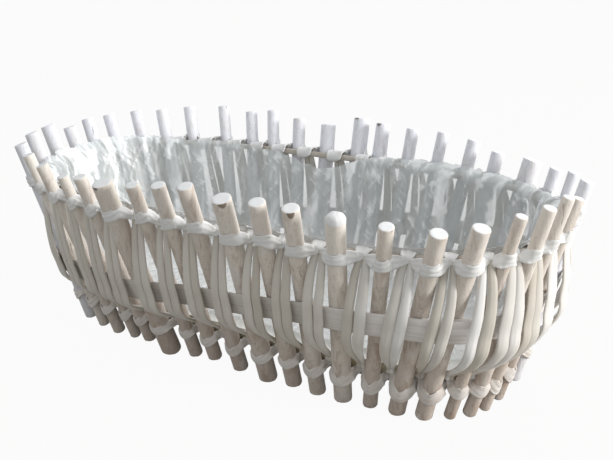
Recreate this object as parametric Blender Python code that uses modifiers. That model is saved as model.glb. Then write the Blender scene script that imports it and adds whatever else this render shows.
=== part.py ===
# A willow planter basket. Upright sticks lean outwards and stand on the floor.
# A flat strip ties them to a round hoop at the rim and to another at the foot.
# Pairs of split strands bulge over a thin middle band, from the rim hoop to the base board.
# Lengths are in metres. The floor is z = 0, the front is -Y and the right is +X.
import math

import bmesh
import bpy
import numpy as np
from mathutils import Matrix, Vector

# the oval that the stick axes follow, at the rim binding and at the foot binding
RIM_HALF_LENGTH = 0.2100
RIM_HALF_DEPTH = 0.0983
RIM_SQUARENESS = 2.85
FOOT_HALF_LENGTH = 0.1822
FOOT_HALF_DEPTH = 0.0664
FOOT_SQUARENESS = 3.8
FOOT_HEIGHT = 0.0205
RIM_HEIGHT = 0.1200
# where the rim hoop is tied, a little lower than the wall's upper oval
RIM_TIE_HEIGHT = 0.1178

# the sticks
STICK_RADIUS = 0.0053
STICK_TAPER_SHARE = 0.94
TIP_LENGTH = 0.0277
TIP_SPREAD = 0.0080
FOOT_SPREAD = 0.0045
CUT_EDGE = 0.0004
STICK_SHARP_ANGLE = math.radians(50)

# the flat strip that binds the sticks, and the hoops that it ties them to
STRIP_WIDTH = 0.0072
STRIP_THICKNESS = 0.0010
STRIP_PINCH = 0.0020
STRIP_SPREAD = 0.0050
STRIP_TILT = math.radians(15)
HOOP_RADIUS = 0.00225
# how near a stick's side the strip passes the hoop, as a share of the stick's radius
STRIP_REACH_SHARE = 0.8
# the strip's way round a stick: its turn, its share of the loop's height, its width's share
LOOP_TURN = math.radians(100)
LOOP_SHARES = ((-1.00, 0.35, 0.70), (-0.55, 0.85, 0.95), (0, 1, 1), (0.55, 0.85, 0.95), (1.00, 0.35, 0.70))

# the middle band: it lies level at the right end and sags towards the left end
BAND_HEIGHT = 0.0750
BAND_WIDTH = 0.0172
BAND_THICKNESS = 0.0012
BAND_SAG = 0.0195
# where along the basket, from its right end, the sag starts and where it is full
SAG_START_SHARE = 0.25
SAG_END_SHARE = 0.85

# the strands
STRAND_THICKNESS = 0.0020
STRAND_TOP_WIDTH = 0.0040
STRAND_BAND_WIDTH = 0.0068
STRAND_FOOT_WIDTH = 0.0034
STRAND_BELLY = 0.0030
STRAND_TOP_RISE = 0.0010
# where a strand's shoulder lies from the band to the rim, and how far out, in stick radii
STRAND_SHOULDER_SHARE = 0.33
SHOULDER_OUT_SHARE = 0.3
# a strand's sweep inwards under the band: its way down to the board, its way out and its width
SWEEP_SHARES = ((0.10, 1.00, 1.00), (0.38, 0.86, 0.82), (0.62, 0.48, 0.58), (0.84, 0.12, 0.46))
# how much fuller the belly is at the right end, and where on the half length it starts to fill
END_BELLY_SHARE = 1.0
END_BELLY_START_SHARE = 0.65
# how much of a strip's width lies over a tucked end
TUCK_SHARE = 0.7

# the base board and the film liner
BOARD_THICKNESS = 0.0070
FILM_THICKNESS = 0.0008
FILM_TOP_RISE = 0.0075
FILM_CORNER = 0.0080
FILM_FOLD = 0.0016
# how deep the film's folds go in behind the sticks and in the gaps, one after another
STICK_FOLD_SHARES = (0.9, 0.6, 1.0, 0.5, 0.8)
GAP_FOLD_SHARES = (0.0, 0.4, 0.1, 0.6, 0.0, 0.2, 0.7)
# how deep they are at each level, from the floor's edge up to the free edge
LEVEL_FOLD_SHARES = (0.0, 0.0, 0.5, 1.0, 0.8, 1.0)
# how high the free edge stands over the rim, at even steps along the front and back again
FILM_EDGE_SHARES = (1.6, 1.2, 0.9, 1.0, 1.1, 0.8, 1.0, 1.1, 0.9, 1.2, 0.7, -0.5, 0.9, 1.2, 2.2, 2.4)

# gaps between pieces that touch on the real basket
SEAT_GAP = 0.0003
WRAP_GAP = 0.0004
SIDE_GAP = 0.0005

# how finely the outlines and rods are divided
OUTLINE_STEPS = 1440
STICK_SIDES = 8
ROD_BEVEL_RESOLUTION = 1
WEAVER_COUNT = 9
# the stretch of wall, in stick places, from which its direction is taken
WALL_STEP_SHARE = 1 / 16

# where the first stick stands, walking along the front from the left end
START_SHARE = 0.0908
# every foot stands a little back from its own rim point
COMMON_LEAN_SHARE = -0.20

# stick by stick, chosen by eye: the gap to the next stick, the stick's girth, its tip's
# height, its rim loop's height, its foot loop's height, its foot's lean and its foot's lift
STICK_SHARES = (
    (1.00, 0.85, -0.1, -0.4, 0.0, 0.00, 0.0), (1.00, 0.90, -0.4, -0.6, 0.1, 0.00, 0.0),
    (0.95, 0.80, -0.9, -0.5, -0.1, -0.05, 0.2), (1.05, 0.95, -0.3, -0.5, 0.3, -0.10, 0.8),
    (1.05, 1.40, -0.1, 0.3, 0.6, -0.05, 0.0), (0.95, 0.95, 0.1, 0.6, 0.5, 0.00, 0.4),
    (0.95, 1.00, 0.6, 0.6, 0.2, 0.00, 1.0), (1.10, 1.05, 1.0, 1.1, -0.2, 0.15, 0.3),
    (1.00, 1.25, 0.5, 0.5, 0.2, 0.25, 0.0), (0.90, 1.10, 0.6, 1.2, 0.5, 0.30, 0.3),
    (1.10, 1.10, 0.5, 0.3, 0.1, 0.35, 0.0), (1.15, 1.20, 0.5, 0.1, 0.0, 0.28, 0.1),
    (1.15, 0.95, -0.3, -0.4, -0.6, 0.15, 0.0), (0.90, 1.10, -0.6, -0.4, -0.6, 0.00, 0.0),
    (0.90, 1.10, -0.2, -0.3, -0.3, 0.00, 0.0), (0.75, 0.75, 0.3, 0.3, 0.2, -0.05, 0.0),
    (0.80, 0.85, 0.5, 0.3, 0.3, -0.15, 0.4), (1.05, 0.75, 0.6, 0.3, -0.4, -0.25, 0.3),
    (1.30, 0.80, -0.5, -0.3, -0.6, -0.30, 0.0), (1.05, 0.95, -0.3, 0.3, 0.2, -0.20, 0.2),
    (0.85, 0.80, -0.6, -0.2, -0.1, -0.10, 0.0), (1.00, 0.95, -1.0, 0.3, 0.3, 0.00, 0.3),
    (1.15, 1.40, -0.9, -0.3, -0.3, 0.00, 0.0), (0.90, 1.00, -0.9, 0.4, 0.2, 0.00, 0.2),
    (1.05, 1.00, -0.2, 0.0, -0.2, 0.05, 0.5), (1.05, 0.90, 0.1, 0.5, 0.1, 0.00, 0.0),
    (1.05, 1.00, 0.0, -0.3, 0.3, 0.00, 0.3), (0.80, 1.15, 0.2, 0.2, -0.3, -0.05, 0.0),
    (1.20, 1.30, 0.5, 0.5, 0.1, 0.00, 0.0), (1.10, 1.20, -0.5, -0.2, 0.4, 0.00, 0.4),
    (1.00, 1.05, -0.2, 0.0, -0.1, 0.00, 0.0), (0.85, 1.00, 0.4, 0.4, 0.2, -0.05, 0.2),
    (1.05, 1.00, 0.1, -0.1, -0.3, 0.00, 0.0), (1.30, 0.95, 0.5, 0.2, 0.3, 0.00, 0.6),
    (1.00, 1.05, 0.3, 0.5, 0.0, 0.05, 0.0), (0.90, 1.05, 0.0, -0.3, -0.2, 0.00, 0.3),
    (0.95, 1.00, 0.0, 0.3, 0.3, 0.00, 0.0), (0.80, 1.00, -0.1, 0.0, -0.1, 0.00, 0.2),
    (0.80, 1.05, -0.1, 0.4, 0.2, 0.00, 0.0), (0.85, 1.10, -0.5, -0.2, -0.3, 0.00, 0.0),
    (0.90, 1.20, 0.3, 0.1, 0.2, 0.00, 0.3), (1.40, 1.10, 0.2, 0.3, 0.0, 0.00, 0.0),
    (1.05, 1.05, 0.2, -0.2, 0.1, 0.00, 0.1),
)
GAP_SHARE, GIRTH_SHARE, TIP_SHARE, RIM_LOOP_SHARE, FOOT_LOOP_SHARE, LEAN_SHARE, LIFT_SHARE = range(7)
STICK_COUNT = len(STICK_SHARES)

# where along the sticks the band's two ends lie, counted in sticks from the left
BAND_START_SHARE = 13.15
BAND_END_SHARE = 14.55
BAND_RAMP_SHARE = 0.50


class Oval:
    # a closed superellipse, walked at an even pace from its left end along the front
    def __init__(self, half_length, half_depth, squareness):
        turn = np.linspace(math.pi, 3 * math.pi, OUTLINE_STEPS + 1)
        across, along = np.cos(turn), np.sin(turn)
        power = 2 / squareness
        self.x = half_length * np.sign(across) * np.abs(across) ** power
        self.y = half_depth * np.sign(along) * np.abs(along) ** power
        steps = np.hypot(np.diff(self.x), np.diff(self.y))
        walked = np.concatenate(([0], np.cumsum(steps)))
        self.walked = walked / walked[-1]

    def at(self, share, height):
        share = share % 1
        x = np.interp(share, self.walked, self.x)
        y = np.interp(share, self.walked, self.y)
        return Vector((x, y, height))


rim_oval = Oval(RIM_HALF_LENGTH, RIM_HALF_DEPTH, RIM_SQUARENESS)
foot_oval = Oval(FOOT_HALF_LENGTH, FOOT_HALF_DEPTH, FOOT_SQUARENESS)
gap_walk = np.concatenate(([0], np.cumsum([shares[GAP_SHARE] for shares in STICK_SHARES])))


def stick_share(index, column):
    return STICK_SHARES[index % STICK_COUNT][column]


def rim_share(place):
    # a place counts sticks: 4.5 is halfway from stick 4 to stick 5
    turns, rest = divmod(place, STICK_COUNT)
    return START_SHARE + turns + np.interp(rest, range(STICK_COUNT + 1), gap_walk) / gap_walk[-1]


def foot_share(place):
    before = math.floor(place)
    part = place - before
    lean = stick_share(before, LEAN_SHARE) * (1 - part) + stick_share(before + 1, LEAN_SHARE) * part
    return rim_share(place) + (COMMON_LEAN_SHARE + lean) / STICK_COUNT


def wall_line(place):
    low = foot_oval.at(foot_share(place), FOOT_HEIGHT)
    high = rim_oval.at(rim_share(place), RIM_HEIGHT)
    return low, high


class Spot:
    # a point of the leaning wall, with its directions along, outward and up the wall
    def __init__(self, place, height):
        low, high = wall_line(place)
        rise = (height - FOOT_HEIGHT) / (RIM_HEIGHT - FOOT_HEIGHT)
        before, after = wall_line(place - WALL_STEP_SHARE), wall_line(place + WALL_STEP_SHARE)
        along = after[0].lerp(after[1], rise) - before[0].lerp(before[1], rise)
        self.centre = low.lerp(high, rise)
        self.up = (high - low).normalized()
        self.outward = along.cross(self.up).normalized()
        self.along = self.up.cross(self.outward)

    def at(self, along, outward, up):
        return self.centre + self.along * along + self.outward * outward + self.up * up


class Stick:
    # the stick's axis is pushed outwards by its girth, so that all inner sides line up
    def __init__(self, index):
        self.radius = STICK_RADIUS * stick_share(index, GIRTH_SHARE)
        self.push = self.radius - STICK_RADIUS
        self.foot = Spot(index, FOOT_HEIGHT)
        self.rim = Spot(index, RIM_HEIGHT)
        self.low = self.foot.at(0, self.push, 0)
        self.high = self.rim.at(0, self.push, 0)
        self.axis = (self.high - self.low).normalized()
        self.tip = self.high + self.axis * (TIP_LENGTH + TIP_SPREAD * stick_share(index, TIP_SHARE))
        self.lift = FOOT_SPREAD * stick_share(index, LIFT_SHARE)


sticks = [Stick(index) for index in range(STICK_COUNT)]


def stick_at(index):
    return sticks[index % STICK_COUNT]


def make_material(name, colour, roughness):
    material = bpy.data.materials.new(name)
    material.use_nodes = True
    shader = material.node_tree.nodes["Principled BSDF"]
    shader.inputs["Base Color"].default_value = (*colour, 1)
    shader.inputs["Roughness"].default_value = roughness
    shader.inputs["Metallic"].default_value = 0
    return material


def add_object(name, data, material, smooth_angle=None):
    piece = bpy.data.objects.new(name, data)
    data.materials.append(material)
    basket.objects.link(piece)
    if smooth_angle is not None:
        data.shade_smooth()
        data.set_sharp_from_angle(angle=smooth_angle)
    return piece


def mesh_from(bm, name):
    bmesh.ops.recalc_face_normals(bm, faces=bm.faces)
    mesh = bpy.data.meshes.new(name)
    bm.to_mesh(mesh)
    bm.free()
    return mesh


def loft(bm, sections, closed):
    # joins sections of unlike size and turn, each a ring of points, into one body
    rings = [[bm.verts.new(point) for point in section] for section in sections]
    pairs = list(zip(rings, rings[1:]))
    if closed:
        pairs.append((rings[-1], rings[0]))
    for first, second in pairs:
        for corner in range(len(first)):
            after = (corner + 1) % len(first)
            bm.faces.new((first[corner], first[after], second[after], second[corner]))
    if not closed:
        bm.faces.new(rings[0])
        bm.faces.new(rings[-1])


def flat_section(centre, across, through, width, thickness):
    # the four corners of a flat strip cut square
    side, face = across * (width / 2), through * (thickness / 2)
    return [centre + side + face, centre - side + face, centre - side - face, centre + side - face]


def make_stick(index, material):
    # turned as a cone, cut level at the foot and square at the tip
    stick = sticks[index]
    overrun = stick.radius
    low = stick.low - stick.axis * ((stick.low.z + overrun) / stick.axis.z)
    length = (stick.tip - low).length
    bm = bmesh.new()
    made = bmesh.ops.create_cone(
        bm, segments=STICK_SIDES, radius1=stick.radius, radius2=stick.radius * STICK_TAPER_SHARE,
        depth=length, cap_ends=True)
    bmesh.ops.translate(bm, verts=made["verts"], vec=(0, 0, length / 2))
    top = [edge for edge in bm.edges if all(vert.co.z > length - CUT_EDGE for vert in edge.verts)]
    bmesh.ops.bevel(bm, geom=top, offset=CUT_EDGE, segments=1, profile=0.5, affect="EDGES")
    turn = stick.axis.to_track_quat("Z", "Y")
    place = Matrix.Translation(low) @ turn.to_matrix().to_4x4()
    floor = place.inverted() @ Vector((0, 0, stick.lift))
    down = turn.inverted() @ Vector((0, 0, -1))
    cut = bmesh.ops.bisect_plane(
        bm, geom=bm.verts[:] + bm.edges[:] + bm.faces[:], plane_co=floor, plane_no=down, clear_outer=True)
    rim = [item for item in cut["geom_cut"] if isinstance(item, bmesh.types.BMEdge)]
    bmesh.ops.edgenet_fill(bm, edges=rim)
    name = f"stick_{index + 1:02d}"
    piece = add_object(name, mesh_from(bm, name), material, STICK_SHARP_ANGLE)
    piece.matrix_world = place


def loop_sections(index, level, loop_column):
    # the strip round one stick: in over the hoop, round the front and away under the hoop
    stick = stick_at(index)
    spot = stick.rim if level == RIM_HEIGHT else stick.foot
    axis_spot = stick.high if level == RIM_HEIGHT else stick.low
    near = stick.radius + WRAP_GAP
    # the outward direction points down, which a level loop makes good
    lift = STRIP_SPREAD * stick_share(index, loop_column) - near * spot.outward.z
    corner_turn = LOOP_TURN * LOOP_SHARES[-2][0]
    for turn_share, lift_share, width_share in LOOP_SHARES:
        turn = LOOP_TURN * turn_share
        facing = spot.outward * math.cos(turn) + spot.along * math.sin(turn)
        if abs(turn_share) == 1:
            stand = near + WRAP_GAP / 2
            drift = -math.copysign(STRIP_THICKNESS, turn)
        else:
            # the front corners stand off, so that the flats between them clear the round stick
            stand = near / math.cos(corner_turn / 2)
            drift = 0
        centre = axis_spot + facing * (stand + STRIP_THICKNESS / 2) + stick.axis * (lift * lift_share + drift)
        yield flat_section(centre, stick.axis, facing, STRIP_WIDTH * width_share, STRIP_THICKNESS)


def crossing_sections(index, level):
    # the strip's way under, behind and over the hoop in the gap after a stick
    before, after = stick_at(index), stick_at(index + 1)
    clear = HOOP_RADIUS + WRAP_GAP + STRIP_THICKNESS / 2
    hoop_out = -STICK_RADIUS - SEAT_GAP - HOOP_RADIUS
    mouth_out = hoop_out + HOOP_RADIUS + STRIP_THICKNESS
    middle, width = gap_middle(index, level, hoop_out)
    reach_before = stick_reach(before) / width
    reach_after = stick_reach(after) / width
    corner = math.sqrt(2)
    lean, rise = math.cos(STRIP_TILT), math.sin(STRIP_TILT)
    under = Spot(index + reach_before, level)
    tilt = under.along * lean + under.up * rise
    facing = under.along * rise - under.up * lean
    yield flat_section(under.at(0, mouth_out, -clear), tilt, facing, STRIP_PINCH, STRIP_THICKNESS)
    behind = Spot(middle, level)
    for side in (-1, 1):
        facing = (behind.up * side - behind.outward) / corner
        centre = behind.at(0, hoop_out - clear, clear * side)
        yield flat_section(centre, behind.along, facing, STRIP_PINCH, STRIP_THICKNESS * corner)
    over = Spot(index + 1 - reach_after, level)
    tilt = over.along * lean + over.up * rise
    facing = over.up * lean - over.along * rise
    yield flat_section(over.at(0, mouth_out, clear), tilt, facing, STRIP_PINCH, STRIP_THICKNESS)


def stick_reach(stick):
    # how far along the wall from a stick's axis its strip passes the hoop
    return stick.radius * STRIP_REACH_SHARE + WRAP_GAP + STRIP_PINCH / 2


def gap_middle(index, height, outward):
    # the place halfway between two sticks' sides, and the distance between their axes
    first, second = Spot(index, height), Spot(index + 1, height)
    width = (second.at(0, outward, 0) - first.at(0, outward, 0)).length
    lead = (width + stick_at(index).radius - stick_at(index + 1).radius) / 2
    return index + lead / width, width


def make_binding(name, level, tie_level, loop_column, material):
    sections = []
    for index in range(STICK_COUNT):
        sections.extend(loop_sections(index, level, loop_column))
        sections.extend(crossing_sections(index, tie_level))
    bm = bmesh.new()
    loft(bm, sections, closed=True)
    add_object(name, mesh_from(bm, name), material)


def rod_curve(name, points, radius):
    curve = bpy.data.curves.new(name, "CURVE")
    curve.dimensions = "3D"
    curve.bevel_depth = radius
    curve.bevel_resolution = ROD_BEVEL_RESOLUTION
    spline = curve.splines.new("POLY")
    spline.points.add(len(points) - 1)
    for knot, point in zip(spline.points, points):
        knot.co = (*point, 1)
    spline.use_cyclic_u = True
    return curve


def make_hoop(name, level, material):
    outward = -STICK_RADIUS - SEAT_GAP - HOOP_RADIUS
    points = [Spot(half / 2, level).at(0, outward, 0) for half in range(2 * STICK_COUNT)]
    add_object(name, rod_curve(name, points, HOOP_RADIUS), material)


def ease(share):
    # an even step from 0 to 1, slow at both its ends
    held = min(max(share, 0), 1)
    return held * held * (3 - 2 * held)


def band_middle(place):
    # the height of the band's middle line
    x = Spot(place, BAND_HEIGHT).centre.x
    from_right = (RIM_HALF_LENGTH - x) / (2 * RIM_HALF_LENGTH)
    sagged = ease((from_right - SAG_START_SHARE) / (SAG_END_SHARE - SAG_START_SHARE))
    return BAND_HEIGHT - BAND_SAG * sagged


def strand_belly(place):
    # how far past the band's face the strands bulge
    x_share = Spot(place, BAND_HEIGHT).centre.x / RIM_HALF_LENGTH
    fuller = ease((x_share - END_BELLY_START_SHARE) / (1 - END_BELLY_START_SHARE))
    return STRAND_BELLY * (1 + END_BELLY_SHARE * fuller)


def band_levels():
    # how far out the band's inner face lies at each stick: it bridges the slim ones
    need = [2 * stick.radius - STICK_RADIUS + SEAT_GAP for stick in sticks]
    levels = []
    for index in range(STICK_COUNT):
        bridge = (need[index - 1] + need[(index + 1) % STICK_COUNT]) / 2
        levels.append(max(need[index], bridge))
    return levels


def lap_share(place):
    # 0 where the band is single, 1 where its outer end lies on its inner end
    past = place - STICK_COUNT - BAND_START_SHARE + BAND_RAMP_SHARE
    return min(max(past / BAND_RAMP_SHARE, 0), 1)


def make_band(levels, material):
    places = [BAND_START_SHARE]
    for index in range(math.ceil(BAND_START_SHARE), STICK_COUNT + math.ceil(BAND_END_SHARE)):
        half = stick_at(index).radius / gap_middle(index, BAND_HEIGHT, 0)[1]
        places.extend((index - half, index + half))
    places.append(STICK_COUNT + BAND_START_SHARE - BAND_RAMP_SHARE)
    places.append(STICK_COUNT + BAND_START_SHARE)
    places.append(STICK_COUNT + BAND_END_SHARE)
    places.sort()
    sections = []
    for place in places:
        inner = band_inner_face(levels, place)
        outer = inner + BAND_THICKNESS
        low = band_middle(place) - BAND_WIDTH / 2
        high = low + BAND_WIDTH
        corners = ((low, inner), (low, outer), (high, outer), (high, inner))
        sections.append([level_point(place, height, outward) for height, outward in corners])
    bm = bmesh.new()
    loft(bm, sections, closed=False)
    add_object("middle_band", mesh_from(bm, "middle_band"), material)


def band_inner_face(levels, place):
    nearest = round(place)
    part = abs(place - nearest)
    beside = nearest + (1 if place > nearest else -1)
    flat = stick_at(nearest).radius / gap_middle(nearest, BAND_HEIGHT, 0)[1]
    slide = max(part - flat, 0) / (1 - 2 * flat)
    single = levels[nearest % STICK_COUNT] * (1 - slide) + levels[beside % STICK_COUNT] * slide
    return single + lap_share(place) * (BAND_THICKNESS + 2 * SEAT_GAP)


def crossing_drop():
    # how far under the rim hoop's middle a weaver passes behind a stick
    return HOOP_RADIUS + STRIP_THICKNESS + 2 * WRAP_GAP + STRAND_TOP_WIDTH / 2


def strand_stations(levels, index, tucked):
    # height, distance outwards, shift up the wall, width, and whether the binding narrows it
    half = STRAND_THICKNESS / 2
    seat_out = half - STICK_RADIUS
    behind_out = -STICK_RADIUS - SEAT_GAP - half
    lapped = index + STICK_COUNT if index <= BAND_END_SHARE else index
    band_out = max(band_inner_face(levels, lapped), band_inner_face(levels, lapped + 1))
    band_out = band_out + BAND_THICKNESS + SEAT_GAP + half
    band_low = band_middle(index + 1 / 2) - BAND_WIDTH / 2
    band_high = band_low + BAND_WIDTH
    shoulder = band_high + (RIM_HEIGHT - band_high) * STRAND_SHOULDER_SHARE
    binding_low = RIM_TIE_HEIGHT - STRIP_WIDTH * TUCK_SHARE
    if tucked:
        yield RIM_TIE_HEIGHT + STRAND_TOP_RISE, seat_out, 0, STRAND_TOP_WIDTH, True
        yield binding_low, seat_out * TUCK_SHARE, 0, STRAND_TOP_WIDTH, True
    else:
        yield RIM_TIE_HEIGHT, behind_out, -crossing_drop(), STRAND_TOP_WIDTH, False
    yield shoulder, STICK_RADIUS * SHOULDER_OUT_SHARE, 0, STRAND_TOP_WIDTH, False
    yield band_high + STRAND_THICKNESS, band_out, 0, STRAND_BAND_WIDTH, False
    sweep = band_out + strand_belly(index + 1 / 2) - seat_out
    for down_share, out_share, width_share in SWEEP_SHARES:
        height = band_low + (board_middle() - band_low) * down_share
        yield height, seat_out + sweep * out_share, 0, STRAND_BAND_WIDTH * width_share, False
    yield board_middle(), seat_out, 0, STRAND_FOOT_WIDTH, False


def leg_sections(levels, index, side, tucked):
    # one leg of a weaver from its top to its bottom, on one side of the gap after a stick
    before, after = stick_at(index), stick_at(index + 1)
    outside = max(before.radius + before.push, after.radius + after.push)
    corner = math.sqrt(2)
    stations = list(strand_stations(levels, index, tucked))
    sections = []
    for number, (height, outward, up, width, bound) in enumerate(stations):
        middle, distance = gap_middle(index, height, outward)
        if not up:
            height = level_height(middle, height, outward)
        room = distance - before.radius - after.radius - 2 * SIDE_GAP
        if bound:
            room -= 2 * (STRIP_THICKNESS + 2 * WRAP_GAP)
        if outward < outside:
            width = min(width, (room - SEAT_GAP) / 2)
        spot = Spot(middle, height)
        centre = spot.at(side * (width + SEAT_GAP) / 2, outward, up)
        across = spot.along * -side
        if number == len(stations) - 1 or (number == 0 and not tucked):
            # a turn is mitred: from down to sideways, or from sideways to down
            across = (across + spot.up) / corner
            width *= corner
        sections.append(flat_section(centre, across, spot.outward, width, STRAND_THICKNESS))
    return sections


def make_weaver(name, levels, first, last, material):
    # one strand goes down and up again in each gap, and passes behind the stick between two gaps
    sections = []
    for index in range(first, last):
        sections.extend(leg_sections(levels, index, -1, tucked=index == first))
        sections.extend(reversed(leg_sections(levels, index, 1, tucked=index == last - 1)))
    bm = bmesh.new()
    loft(bm, sections, closed=False)
    add_object(name, mesh_from(bm, name), material)


def make_weavers(levels, material):
    for number in range(WEAVER_COUNT):
        first = number * STICK_COUNT // WEAVER_COUNT
        last = (number + 1) * STICK_COUNT // WEAVER_COUNT
        make_weaver(f"weaver_{number + 1:02d}", levels, first, last, material)


def level_height(place, height, outward):
    # the wall height from which a step outwards, square to the wall, ends at the given height
    return height - Spot(place, height).outward.z * outward


def level_point(place, height, outward):
    return Spot(place, level_height(place, height, outward)).at(0, outward, 0)


def board_low():
    # the board lies on the foot binding where that crosses behind the foot hoop
    behind = STICK_RADIUS + SEAT_GAP + 2 * HOOP_RADIUS + WRAP_GAP + STRIP_THICKNESS
    above = HOOP_RADIUS + WRAP_GAP + STRIP_THICKNESS
    slope = max(outward_drop(index) for index in range(STICK_COUNT))
    return FOOT_HEIGHT + above + behind * slope + SEAT_GAP


def outward_drop(index):
    return -sticks[index].foot.outward.z


def board_middle():
    return board_low() + BOARD_THICKNESS / 2


def make_board(material):
    curve = bpy.data.curves.new("base_board", "CURVE")
    curve.dimensions = "2D"
    curve.fill_mode = "BOTH"
    curve.extrude = BOARD_THICKNESS / 2
    outward = -STICK_RADIUS - SEAT_GAP
    points = [level_point(half / 2, board_low(), outward) for half in range(2 * STICK_COUNT)]
    spline = curve.splines.new("POLY")
    spline.points.add(len(points) - 1)
    for knot, point in zip(spline.points, points):
        knot.co = (point.x, point.y, 0, 1)
    spline.use_cyclic_u = True
    board = add_object("base_board", curve, material)
    board.location.z = board_middle()


def film_fold(column):
    # columns of the film alternate between the gaps and the sticks
    number, behind_stick = divmod(column, 2)
    shares = STICK_FOLD_SHARES if behind_stick else GAP_FOLD_SHARES
    return FILM_FOLD * shares[number % len(shares)]


def film_edge(place):
    shares = (*FILM_EDGE_SHARES, FILM_EDGE_SHARES[0])
    steps = np.linspace(0, STICK_COUNT, len(shares))
    return RIM_HEIGHT + FILM_TOP_RISE * np.interp(place % STICK_COUNT, steps, shares)


def make_liner(material):
    # an open folded skin from the middle of the floor up the wall, thickened inwards
    floor = board_low() + BOARD_THICKNESS + SEAT_GAP
    wall_out = -STICK_RADIUS - SEAT_GAP - FILM_CORNER / 2
    rim_out = -STICK_RADIUS - 2 * SEAT_GAP - 2 * HOOP_RADIUS - 2 * WRAP_GAP - 2 * STRIP_THICKNESS
    levels = (
        (floor, wall_out - FILM_CORNER),
        (floor, wall_out - FILM_CORNER / 3),
        (floor + FILM_CORNER * 2 / 3, wall_out),
        ((floor + RIM_HEIGHT) / 2, (wall_out + rim_out) / 2),
        (RIM_TIE_HEIGHT - STRIP_WIDTH, rim_out),
    )
    bm = bmesh.new()
    rings = []
    for (height, outward), deepness in zip((*levels, (None, rim_out)), LEVEL_FOLD_SHARES):
        ring = []
        for column in range(2 * STICK_COUNT):
            place = (column + 1) / 2
            level = film_edge(place) if height is None else height
            ring.append(bm.verts.new(level_point(place, level, outward - deepness * film_fold(column))))
        rings.append(ring)
    for low, high in zip(rings, rings[1:]):
        for column in range(len(low)):
            after = (column + 1) % len(low)
            bm.faces.new((low[column], low[after], high[after], high[column]))
    bm.faces.new(rings[0])
    liner = add_object("liner", mesh_from(bm, "liner"), material)
    wall = liner.modifiers.new("film", "SOLIDIFY")
    wall.thickness = FILM_THICKNESS
    wall.offset = -1


for leftover in list(bpy.data.objects):
    bpy.data.objects.remove(leftover, do_unlink=True)

basket = bpy.data.collections.new("willow_basket")
bpy.context.scene.collection.children.link(basket)

stick_wood = make_material("stick_wood", (0.63, 0.58, 0.55), 0.75)
strip_willow = make_material("strip_willow", (0.86, 0.85, 0.84), 0.60)
hoop_wood = make_material("hoop_wood", (0.45, 0.41, 0.35), 0.75)
band_wood = make_material("band_wood", (0.72, 0.68, 0.62), 0.70)
strand_willow = make_material("strand_willow", (0.80, 0.80, 0.81), 0.60)
board_wood = make_material("board_wood", (0.42, 0.38, 0.28), 0.80)
clear_film = make_material("clear_film", (0.72, 0.76, 0.77), 0.20)

for number in range(STICK_COUNT):
    make_stick(number, stick_wood)
make_binding("rim_binding", RIM_HEIGHT, RIM_TIE_HEIGHT, RIM_LOOP_SHARE, strip_willow)
make_binding("foot_binding", FOOT_HEIGHT, FOOT_HEIGHT, FOOT_LOOP_SHARE, strip_willow)
make_hoop("rim_hoop", RIM_TIE_HEIGHT, hoop_wood)
make_hoop("foot_hoop", FOOT_HEIGHT, hoop_wood)
face_levels = band_levels()
make_band(face_levels, band_wood)
make_weavers(face_levels, strand_willow)
make_board(board_wood)
make_liner(clear_film)
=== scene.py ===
import math

import bmesh
import bpy
import numpy as np
from mathutils import Matrix, Vector, noise
from mathutils.bvhtree import BVHTree


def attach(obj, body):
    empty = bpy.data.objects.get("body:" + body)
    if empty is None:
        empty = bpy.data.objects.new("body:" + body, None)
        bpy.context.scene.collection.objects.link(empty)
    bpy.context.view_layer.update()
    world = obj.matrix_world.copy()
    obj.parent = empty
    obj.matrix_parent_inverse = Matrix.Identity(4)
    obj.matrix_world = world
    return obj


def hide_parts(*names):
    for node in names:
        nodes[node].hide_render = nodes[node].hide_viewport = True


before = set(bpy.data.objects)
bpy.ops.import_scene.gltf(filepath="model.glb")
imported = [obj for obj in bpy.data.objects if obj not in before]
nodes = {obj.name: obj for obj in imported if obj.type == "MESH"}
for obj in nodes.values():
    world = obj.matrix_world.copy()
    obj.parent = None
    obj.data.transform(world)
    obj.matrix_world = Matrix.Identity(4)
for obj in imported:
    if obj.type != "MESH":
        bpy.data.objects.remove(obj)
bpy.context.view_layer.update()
print("frame loaded:", len(nodes), "nodes")

# shader helpers


class Signal:
    # one node's output; arithmetic on it adds Math nodes
    def __init__(self, shading, socket):
        self.shading = shading
        self.socket = socket

    def math(self, operation, left, right):
        return self.shading.add("Math", {"operation": operation}, {0: left, 1: right})

    def __add__(self, other):
        return self.math("ADD", self, other)

    __radd__ = __add__

    def __sub__(self, other):
        return self.math("SUBTRACT", self, other)

    def __rsub__(self, other):
        return self.math("SUBTRACT", other, self)

    def __mul__(self, other):
        return self.math("MULTIPLY", self, other)

    __rmul__ = __mul__

    def atLeast(self, other):
        return self.math("MAXIMUM", self, other)

    def atMost(self, other):
        return self.math("MINIMUM", self, other)


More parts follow.
